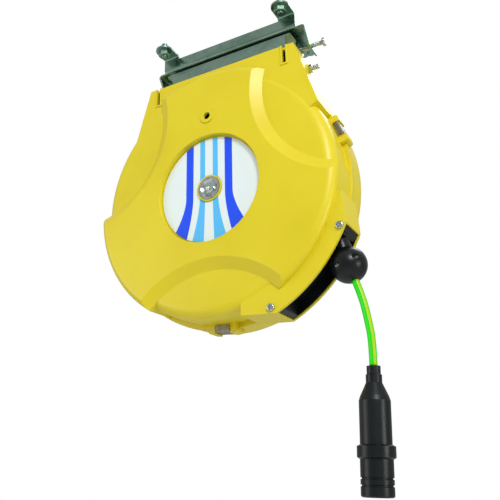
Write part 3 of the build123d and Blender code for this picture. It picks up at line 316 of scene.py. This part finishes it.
tree.links.new(relief.outputs["Normal"], shader.inputs["Normal"])

# Extruded PVC of the earth wire: green with one yellow stripe that follows the wire,
# a satin skin with faint lay of the strands under it. "around" is 0 on the stripe, 1 behind it.
cordLook = {"green": "22E806", "deep": "14A80A", "yellow": "A6D016", "stripe": 0.14, "edge": 0.02}
cordPvc, tree, shader, place = newMaterial(
    "extrudedPvcEarthWire", inputs={"IOR": 1.53, "Roughness": 0.34, "Specular IOR Level": 0.28}
)
around = addNode(tree, "ShaderNodeAttribute", attribute_name="around", attribute_type="GEOMETRY")
stripes = addNode(
    tree, "ShaderNodeValToRGB", {"Fac": around.outputs["Fac"]},
    stops=[
        (cordLook["stripe"] - cordLook["edge"], linear(cordLook["yellow"])),
        (cordLook["stripe"], linear(cordLook["deep"])),
        (cordLook["stripe"] + 3 * cordLook["edge"], linear(cordLook["green"])),
    ],
)
skin = addNode(tree, "ShaderNodeTexNoise", {"Vector": place, "Scale": 1 / (2.5 * mm), "Detail": 2.0})
tree.links.new(stripes.outputs["Color"], shader.inputs["Base Color"])
relief = addNode(
    tree, "ShaderNodeBump", {"Height": skin.outputs["Fac"], "Strength": 0.15, "Distance": 0.1 * mm}
)
tree.links.new(relief.outputs["Normal"], shader.inputs["Normal"])
print("materials made")

finishes = {
    "zinc_steel": zincSheet, "yellow_case": yellowAbs, "bright_steel": brightZinc,
    "spring_steel": springStrip, "machined_steel": turnedSteel, "label_face": labelPrint,
    "black_moulding": blackAbs, "drum_moulding": greyNylon, "bronze": tinBronze,
    "brass": turnedBrass, "carbon": carbonBlock, "green_cord": cordPvc, "black_rubber": blackRubber,
}
for node in nodes.values():
    for held in node.material_slots:
        held.material = finishes[held.material.name.split(".")[0]]
print("finishes given to the CAD nodes")


# ---- cord: the free end below the stopper ball, then the straight lead inside
cordSet = {
    "diameter": 7.6 * mm, "sides": 28, "stripeDegrees": 46.0, "length": 0.0847,
    "route": [
        (0.13363, -0.0136, -0.32912), (0.13911, -0.0136, -0.34627), (0.14280, -0.0136, -0.36840),
        (0.14525, -0.0136, -0.39053), (0.14410, -0.0136, -0.41250),
    ],
}


def curvePoints(name, route):
    # points along the NURBS spline that has the route's points as its control points
    line = bpy.data.curves.new(name, "CURVE")
    line.dimensions = "3D"
    line.resolution_u = 16
    spline = line.splines.new("NURBS")
    spline.points.add(len(route) - 1)
    for point, place in zip(spline.points, route):
        point.co = (*place, 1.0)
    spline.order_u = 3
    spline.use_endpoint_u = True
    holder = bpy.data.objects.new(name, line)
    scene.collection.objects.link(holder)
    mesh = bpy.data.meshes.new_from_object(holder)
    points = [v.co.copy() for v in mesh.vertices]
    bpy.data.objects.remove(holder)
    return points


def tubeAlong(name, points, diameter, sides, stripeAt):
    # closed tube; every vertex knows how far round from the stripe it lies
    vertices, faces, aroundValues = [], [], []
    for n, point in enumerate(points):
        ahead = points[min(n + 1, len(points) - 1)] - points[max(n - 1, 0)]
        ahead.normalize()
        toFront = Vector((0, -1, 0))
        toSide = toFront.cross(ahead).normalized()
        for k in range(sides):
            turn = 2 * math.pi * k / sides
            vertices.append(point + (toSide * math.cos(turn) + toFront * math.sin(turn)) * diameter / 2)
            away = (turn - math.radians(stripeAt)) % (2 * math.pi)
            aroundValues.append(min(away, 2 * math.pi - away) / math.pi)
    for n in range(len(points) - 1):
        for k in range(sides):
            a, b = n * sides + k, n * sides + (k + 1) % sides
            faces.append((a, b, b + sides, a + sides))
    faces.append(tuple(reversed(range(sides))))
    faces.append(tuple(range((len(points) - 1) * sides, len(points) * sides)))
    mesh = bpy.data.meshes.new(name)
    mesh.from_pydata(vertices, [], faces)
    mesh.attributes.new("around", "FLOAT", "POINT").data.foreach_set("value", aroundValues)
    mesh.materials.append(cordPvc)
    for face in mesh.polygons:
        face.use_smooth = len(face.vertices) == 4
    mesh.update()
    return newObject(name, mesh)


freePath = curvePoints("freeCordLine", cordSet["route"])
freeCord = tubeAlong("freeCord", freePath, cordSet["diameter"], cordSet["sides"], cordSet["stripeDegrees"])
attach(freeCord, "cord_lead")
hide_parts("free_cord")

lead = {
    "ballAt": (0.1280, -0.0136, -0.3115), "along": (0.304345, 0, -0.952562),
    "length": 148.0 * mm, "pastBall": 18.5 * mm, "steps": 8,
}
ballAt, leadWay = Vector(lead["ballAt"]), Vector(lead["along"])
leadPath = [
    ballAt - leadWay * (lead["length"] - (lead["length"] + lead["pastBall"]) * n / lead["steps"])
    for n in range(lead["steps"] + 1)
]
leadCord = tubeAlong("leadCord", leadPath, cordSet["diameter"], cordSet["sides"], cordSet["stripeDegrees"])
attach(leadCord, "cord_lead")
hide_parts("cord_lead")
print("cord made, line points:", len(freePath))


# ---- screw threads: one Geometry Nodes tree winds a ridge at each point of a small mesh
def newTree(name, sockets):
    tree = bpy.data.node_groups.new(name, "GeometryNodeTree")
    tree.interface.new_socket("Geometry", in_out="OUTPUT", socket_type="NodeSocketGeometry")
    tree.interface.new_socket("Geometry", in_out="INPUT", socket_type="NodeSocketGeometry")
    for given, kind in sockets:
        tree.interface.new_socket(given, in_out="INPUT", socket_type="NodeSocket" + kind)
    return tree, addNode(tree, "NodeGroupInput").outputs


ridge = {"sunk": -0.18, "crest": 0.42, "round": 20}  # shares of the pitch, and steps in a turn
threadTree, given = newTree(
    "threadRidge",
    [
        ("Radius", "Float"), ("Pitch", "Float"), ("Length", "Float"),
        ("Turn", "Vector"), ("Finish", "Material"),
    ],
)
turns = addNode(threadTree, "ShaderNodeMath", {0: given["Length"], 1: given["Pitch"]}, operation="DIVIDE")
sunk = addNode(
    threadTree, "ShaderNodeMath", {0: given["Pitch"], 1: ridge["sunk"], 2: given["Radius"]},
    operation="MULTIPLY_ADD",
)
crest = addNode(threadTree, "ShaderNodeMath", {0: given["Pitch"], 1: ridge["crest"]}, operation="MULTIPLY")
helix = addNode(
    threadTree, "GeometryNodeCurveSpiral",
    {
        "Resolution": ridge["round"], "Rotations": turns.outputs[0], "Start Radius": sunk.outputs[0],
        "End Radius": sunk.outputs[0], "Height": given["Length"],
    },
)
profile = addNode(
    threadTree, "GeometryNodeCurvePrimitiveCircle", {"Resolution": 4, "Radius": crest.outputs[0]}
)
wound = addNode(
    threadTree, "GeometryNodeCurveToMesh",
    {"Curve": helix.outputs["Curve"], "Profile Curve": profile.outputs["Curve"], "Fill Caps": True},
)
turned = addNode(threadTree, "FunctionNodeEulerToRotation", {"Euler": given["Turn"]})
placed = addNode(
    threadTree, "GeometryNodeInstanceOnPoints",
    {"Points": given["Geometry"], "Instance": wound.outputs["Mesh"], "Rotation": turned.outputs["Rotation"]},
)
real = addNode(threadTree, "GeometryNodeRealizeInstances", {"Geometry": placed.outputs["Instances"]})
finished = addNode(
    threadTree, "GeometryNodeSetMaterial", {"Geometry": real.outputs["Geometry"], "Material": given["Finish"]}
)
addNode(threadTree, "NodeGroupOutput", {"Geometry": finished.outputs["Geometry"]})

studs, rod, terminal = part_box("ceiling_studs"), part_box("hanger_rod"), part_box("terminal_stud")
studX, studY, rodY, rodZ = 80 * mm, 42.5 * mm, -19 * mm, -78 * mm
studAt = [(x, y, 0.4 * mm) for x in (-studX, studX) for y in (-studY, studY)]
tipAt = [(x, y, studs[0].z + 0.5 * mm) for x, y, z in studAt]
toX, toY = (0, math.pi / 2, 0), (-math.pi / 2, 0, 0)
pivotAt = [(101.5 * mm, 0, -33.4 * mm), (-112.5 * mm, 0, -33.4 * mm)]
seenPitch = 1.4 * mm  # drawn coarser than the real M5's 0.8 mm
threads = {  # body, slot, finish, then runs: points, radius, pitch, length, turn
    "ceilingStudThreads": ("mount", "zinc_steel", zincSheet, [
        (studAt, 4.0 * mm, 1.25 * mm, 7.0 * mm, (0, 0, 0)),
        (tipAt, 3.6 * mm, 1.25 * mm, 1.3 * mm, (0, 0, 0)),
    ]),
    "pivotScrewThreads": ("mount", "bright_steel", brightZinc, [
        (pivotAt, 2.5 * mm, seenPitch, 11.0 * mm, toX),
    ]),
    "rodThreads": ("reel", "zinc_steel", brightZinc, [
        ([(rod[1].x - 9.5 * mm, rodY, rodZ)], 2.5 * mm, seenPitch, 8.8 * mm, toX),
        ([(rod[0].x + 0.5 * mm, rodY, rodZ)], 2.5 * mm, 0.8 * mm, 1.0 * mm, toX),
    ]),
    "terminalThreads": ("reel", "brass", turnedBrass, [
        ([(-41 * mm, terminal[1].y - 2.7 * mm, -203 * mm)], 3.0 * mm, 1.0 * mm, 2.3 * mm, toY),
        ([(-41 * mm, terminal[1].y - 10.8 * mm, -203 * mm)], 2.7 * mm, 1.0 * mm, 2.6 * mm, toY),
    ]),
}
for name, (body, slotName, finish, runs) in threads.items():
    made = []
    for n, (points, radius, pitch, length, turn) in enumerate(runs):
        seed = bpy.data.meshes.new(name)
        seed.from_pydata(points, [], [])
        values = {"Radius": radius, "Pitch": pitch, "Length": length, "Turn": turn, "Finish": finish}
        made.append(grown(newObject(name + "Run", seed), threadTree, values, f"{name}{n}"))
    joined = bmesh.new()
    for piece in made:
        joined.from_mesh(piece.data)
    mesh = bpy.data.meshes.new(name)
    bmesh.ops.recalc_face_normals(joined, faces=joined.faces)
    joined.to_mesh(mesh)
    joined.free()
    mesh.materials.append(finish)
    for piece in made:
        bpy.data.objects.remove(piece)
    thread = newObject(name, mesh)
    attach(thread, body)
print("threads wound")


# ---- the cord wound on the drum: one tree lays it turn by turn and layer by layer
winding = {
    "hub": 60.2 * mm, "diameter": 7.6 * mm, "layerPitch": 6.6 * mm, "layers": 6, "turns": 4,
    "front": -28.9 * mm, "width": 31.0 * mm, "x": -17.0 * mm, "z": -203.0 * mm, "perTurn": 40,
    "climbFrom": 0.94,  # how far along a layer the cord starts up to the next
}
windTree, given = newTree(
    "drumWinding",
    [
        ("Hub", "Float"), ("Diameter", "Float"), ("Layer Pitch", "Float"), ("Layers", "Float"),
        ("Turns", "Float"), ("Travel", "Float"), ("Points", "Int"),
        ("Offset", "Vector"), ("Finish", "Material"),
    ],
)
line = addNode(windTree, "GeometryNodeCurvePrimitiveLine")
strung = addNode(
    windTree, "GeometryNodeResampleCurve", {"Curve": line.outputs["Curve"], "Count": given["Points"]}
)
along = addNode(windTree, "GeometryNodeSplineParameter").outputs["Factor"]
layer = addNode(windTree, "ShaderNodeMath", {0: along, 1: given["Layers"]}, operation="MULTIPLY")
whole = addNode(windTree, "ShaderNodeMath", {0: layer.outputs[0]}, operation="FLOOR")
partly = addNode(windTree, "ShaderNodeMath", {0: layer.outputs[0]}, operation="FRACT")
climb = addNode(
    windTree, "ShaderNodeMapRange",
    {"Value": partly.outputs[0], "From Min": winding["climbFrom"], "From Max": 1.0},
)
level = addNode(
    windTree, "ShaderNodeMath", {0: whole.outputs[0], 1: climb.outputs["Result"]}, operation="ADD"
)
half = addNode(
    windTree, "ShaderNodeMath", {0: given["Diameter"], 1: 0.5, 2: given["Hub"]}, operation="MULTIPLY_ADD"
)
radius = addNode(
    windTree, "ShaderNodeMath",
    {0: level.outputs[0], 1: given["Layer Pitch"], 2: half.outputs[0]}, operation="MULTIPLY_ADD",
)
laps = addNode(windTree, "ShaderNodeMath", {0: layer.outputs[0], 1: given["Turns"]}, operation="MULTIPLY")
angle = addNode(windTree, "ShaderNodeMath", {0: laps.outputs[0], 1: 2 * math.pi}, operation="MULTIPLY")
cosine = addNode(windTree, "ShaderNodeMath", {0: angle.outputs[0]}, operation="COSINE")
sine = addNode(windTree, "ShaderNodeMath", {0: angle.outputs[0]}, operation="SINE")
x = addNode(windTree, "ShaderNodeMath", {0: cosine.outputs[0], 1: radius.outputs[0]}, operation="MULTIPLY")
z = addNode(windTree, "ShaderNodeMath", {0: sine.outputs[0], 1: radius.outputs[0]}, operation="MULTIPLY")
swing = addNode(windTree, "ShaderNodeMath", {0: layer.outputs[0], 1: 1.0}, operation="PINGPONG")
y = addNode(windTree, "ShaderNodeMath", {0: swing.outputs[0], 1: given["Travel"]}, operation="MULTIPLY")
spot = addNode(
    windTree, "ShaderNodeCombineXYZ", {"X": x.outputs[0], "Y": y.outputs[0], "Z": z.outputs[0]}
)
moved = addNode(
    windTree, "ShaderNodeVectorMath", {0: spot.outputs["Vector"], 1: given["Offset"]}, operation="ADD"
)
laid = addNode(
    windTree, "GeometryNodeSetPosition",
    {"Geometry": strung.outputs["Curve"], "Position": moved.outputs["Vector"]},
)
thick = addNode(windTree, "ShaderNodeMath", {0: given["Diameter"], 1: 0.5}, operation="MULTIPLY")
cordRound = addNode(
    windTree, "GeometryNodeCurvePrimitiveCircle", {"Resolution": 10, "Radius": thick.outputs[0]}
)
circleAt = addNode(windTree, "GeometryNodeSplineParameter").outputs["Factor"]
twice = addNode(windTree, "ShaderNodeMath", {0: circleAt, 1: 2.0, 2: -1.0}, operation="MULTIPLY_ADD")
folded = addNode(windTree, "ShaderNodeMath", {0: twice.outputs[0]}, operation="ABSOLUTE")
kept = windTree.nodes.new("GeometryNodeCaptureAttribute")
kept.capture_items.new("FLOAT", "around")
windTree.links.new(cordRound.outputs["Curve"], kept.inputs["Geometry"])
windTree.links.new(folded.outputs[0], kept.inputs["around"])
coil = addNode(
    windTree, "GeometryNodeCurveToMesh",
    {"Curve": laid.outputs["Geometry"], "Profile Curve": kept.outputs["Geometry"], "Fill Caps": True},
)
named = addNode(
    windTree, "GeometryNodeStoreNamedAttribute",
    {"Geometry": coil.outputs["Mesh"], "Name": "around", "Value": kept.outputs["around"]},
    data_type="FLOAT", domain="POINT",
)
single = addNode(windTree, "GeometryNodeRealizeInstances", {"Geometry": named.outputs["Geometry"]})
dressed = addNode(
    windTree, "GeometryNodeSetMaterial", {"Geometry": single.outputs["Geometry"], "Material": given["Finish"]}
)
addNode(windTree, "NodeGroupOutput", {"Geometry": dressed.outputs["Geometry"]})

seed = bpy.data.meshes.new("windingSeed")
seed.from_pydata([(0, 0, 0)], [], [])
woundCord = grown(
    newObject("windingSeed", seed), windTree,
    {
        "Hub": winding["hub"], "Diameter": winding["diameter"], "Layer Pitch": winding["layerPitch"],
        "Layers": float(winding["layers"]), "Turns": float(winding["turns"]),
        "Travel": winding["width"] - winding["diameter"],
        "Points": winding["layers"] * winding["turns"] * winding["perTurn"],
        "Offset": (winding["x"], winding["front"] + winding["diameter"] / 2, winding["z"]),
        "Finish": cordPvc,
    },
    "woundCordTurns",
)
shape = bmesh.new()
shape.from_mesh(woundCord.data)
bmesh.ops.recalc_face_normals(shape, faces=shape.faces)
shape.to_mesh(woundCord.data)
shape.free()
for face in woundCord.data.polygons:
    face.use_smooth = len(face.vertices) == 4
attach(woundCord, "drum")
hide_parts("wound_cord")
print("drum wound:", len(woundCord.data.polygons), "faces")


# ---- floor, light and background
floorSet = {"height": -1.5, "half": 4.0, "dark": "EFEFED", "light": "F6F6F4"}
side = floorSet["half"]
floorMesh = bpy.data.meshes.new("floor")
corners = [(-side, -side), (side, -side), (side, side), (-side, side)]
floorMesh.from_pydata([(x, y, floorSet["height"]) for x, y in corners], [], [(0, 1, 2, 3)])
floorLook, tree, shader, place = newMaterial("paintedFloor", inputs={"Roughness": 0.6})
patches = addNode(tree, "ShaderNodeTexNoise", {"Vector": place, "Scale": 4.0, "Detail": 2.0})
tint = addNode(
    tree, "ShaderNodeValToRGB", {"Fac": patches.outputs["Fac"]},
    stops=[(0.3, linear(floorSet["dark"])), (0.7, linear(floorSet["light"]))],
)
tree.links.new(tint.outputs["Color"], shader.inputs["Base Color"])
floorMesh.materials.append(floorLook)
floor = newObject("floor", floorMesh)

lights = {  # place, watts, width; each is aimed at the reel's middle
    "keyRight": ((1.05, -1.25, 0.60), 19.0, 0.55),
    "fillLeft": ((-1.4, -1.0, -0.15), 7.0, 0.9),
    "topBack": ((0.2, 0.9, 0.9), 6.0, 0.6),
    "stripRight": ((1.35, -0.25, -0.45), 3.5, 0.35),
}
middle = Vector((0.0, 0.0, -0.25))
for name, (place, watts, width) in lights.items():
    lamp = bpy.data.lights.new(name, "AREA")
    lamp.energy, lamp.size = watts, width
    holder = newObject(name, lamp)
    holder.location = place
    holder.rotation_mode = "QUATERNION"
    holder.rotation_quaternion = (middle - Vector(place)).to_track_quat("-Z", "Y")

world = bpy.data.worlds.new("studio")
world.use_nodes = True
scene.world = world
tree = world.node_tree
tree.nodes.clear()
direction = addNode(tree, "ShaderNodeTexCoord").outputs["Generated"]
height = addNode(tree, "ShaderNodeSeparateXYZ", {"Vector": direction}).outputs["Z"]
raised = addNode(
    tree, "ShaderNodeMapRange", {"Value": height, "From Min": -1.0, "From Max": 1.0}
)
dome = addNode(
    tree, "ShaderNodeValToRGB", {"Fac": raised.outputs["Result"]},
    stops=[(0.0, (0.34, 0.34, 0.32, 1)), (1.0, (0.95, 0.97, 1.0, 1)), (0.5, (0.48, 0.48, 0.46, 1))],
)
domeLight = addNode(tree, "ShaderNodeBackground", {"Color": dome.outputs["Color"], "Strength": 0.68})
whiteBack = addNode(tree, "ShaderNodeBackground", {"Color": (1, 1, 1, 1), "Strength": 1.0})
seen = addNode(tree, "ShaderNodeLightPath").outputs["Is Camera Ray"]
both = addNode(
    tree, "ShaderNodeMixShader",
    {0: seen, 1: domeLight.outputs["Background"], 2: whiteBack.outputs["Background"]},
)
addNode(tree, "ShaderNodeOutputWorld", {"Surface": both.outputs["Shader"]})
print("floor and lights placed")
